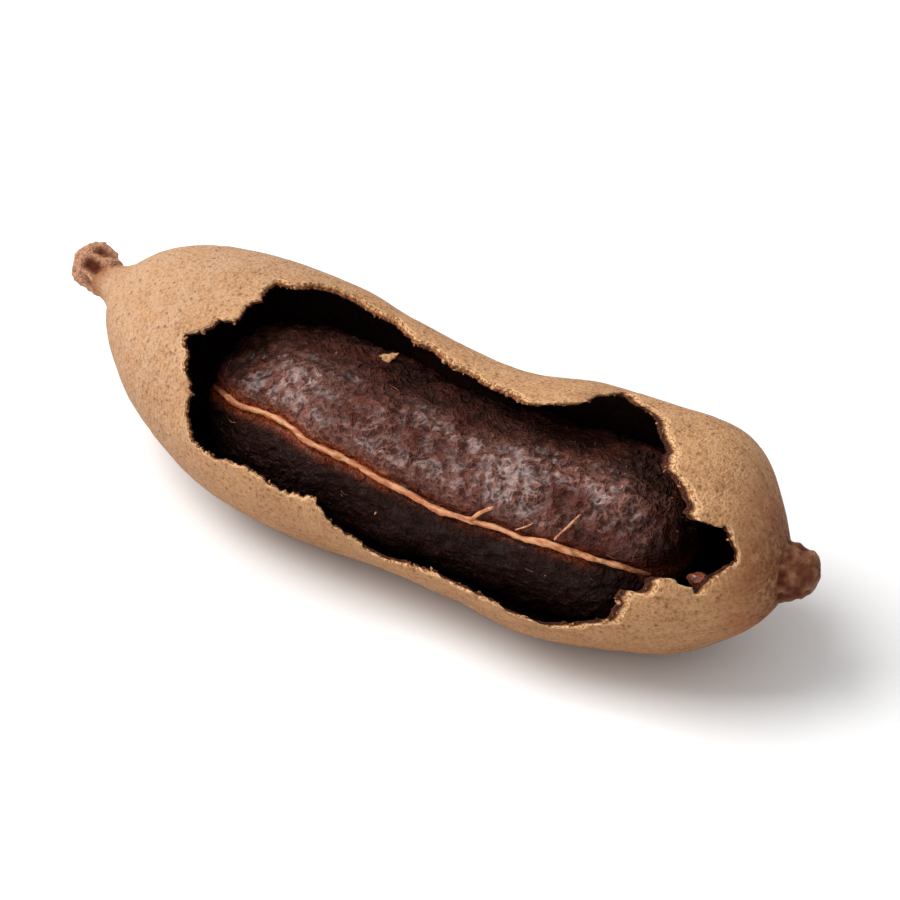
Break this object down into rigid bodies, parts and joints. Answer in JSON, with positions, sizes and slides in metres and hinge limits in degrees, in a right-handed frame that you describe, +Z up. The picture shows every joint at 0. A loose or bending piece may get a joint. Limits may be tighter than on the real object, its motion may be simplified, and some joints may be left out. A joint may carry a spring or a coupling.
{
  "type": "tamarind pod",
  "caption": "Ripe tamarind pod lying on its side, its brittle tan shell broken open along one flank over dark sticky pulp and a pale strand.",
  "frame": {"origin": "on the surface the pod lies on, under the middle of its box", "axes": "+X along the pod from the stalk end to the tip end, +Z up, and the broken opening looks towards -Y and up"},
  "size_m": [0.1014, 0.0314, 0.026],
  "materials": {
    "shell": "dry, finely pitted tan shell, matte outside, pale where broken, dark red-brown inside",
    "pulp": "sticky, wrinkled, dark red-brown, glossy where moist",
    "stub_wood": "dark, cracked, dry wood",
    "fibre": "tough orange-brown fibre, slightly shiny"
  },
  "bodies": {
    "root": {"shell": "shell", "pulp": "pulp", "stalk_stub": "stub_wood", "tip_stub": "stub_wood", "main_strand": "fibre", "fine_strand": "fibre", "shell_flake": "shell", "pulp_crumb": "pulp"}
  },
  "joints": []
}
